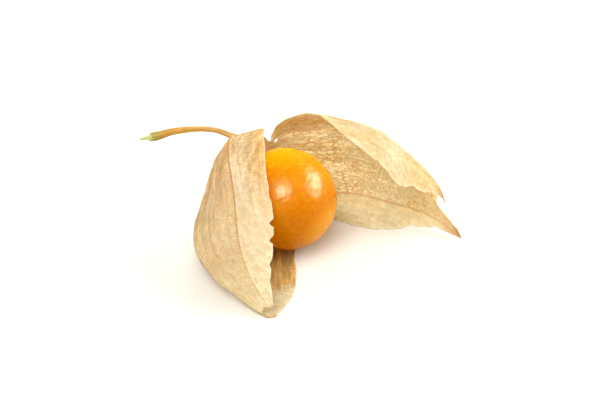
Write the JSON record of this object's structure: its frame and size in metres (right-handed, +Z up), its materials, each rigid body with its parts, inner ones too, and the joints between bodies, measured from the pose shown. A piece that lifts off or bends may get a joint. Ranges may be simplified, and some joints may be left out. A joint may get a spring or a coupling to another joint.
{
  "type": "physalis berry",
  "caption": "Ripe physalis (cape gooseberry) lying in its dry papery husk, torn open into lobes with ragged edges, with its bent stem still on.",
  "frame": {"origin": "on the resting surface, in the flat sole of the husk, straight under the middle of the berry", "axes": "+Z up, +X out towards the tip of the lobe behind the berry, -Y out towards the tip of the lobe beside it; the stem runs out towards -X and +Y"},
  "size_m": [0.06, 0.0391, 0.0206],
  "materials": {
    "berry_skin": "glossy",
    "husk_paper": "dry, finely veined, slightly translucent",
    "stem_bark": "satin"
  },
  "bodies": {
    "root": {"berry": "berry_skin", "husk": "husk_paper", "stem": "stem_bark"}
  },
  "joints": []
}
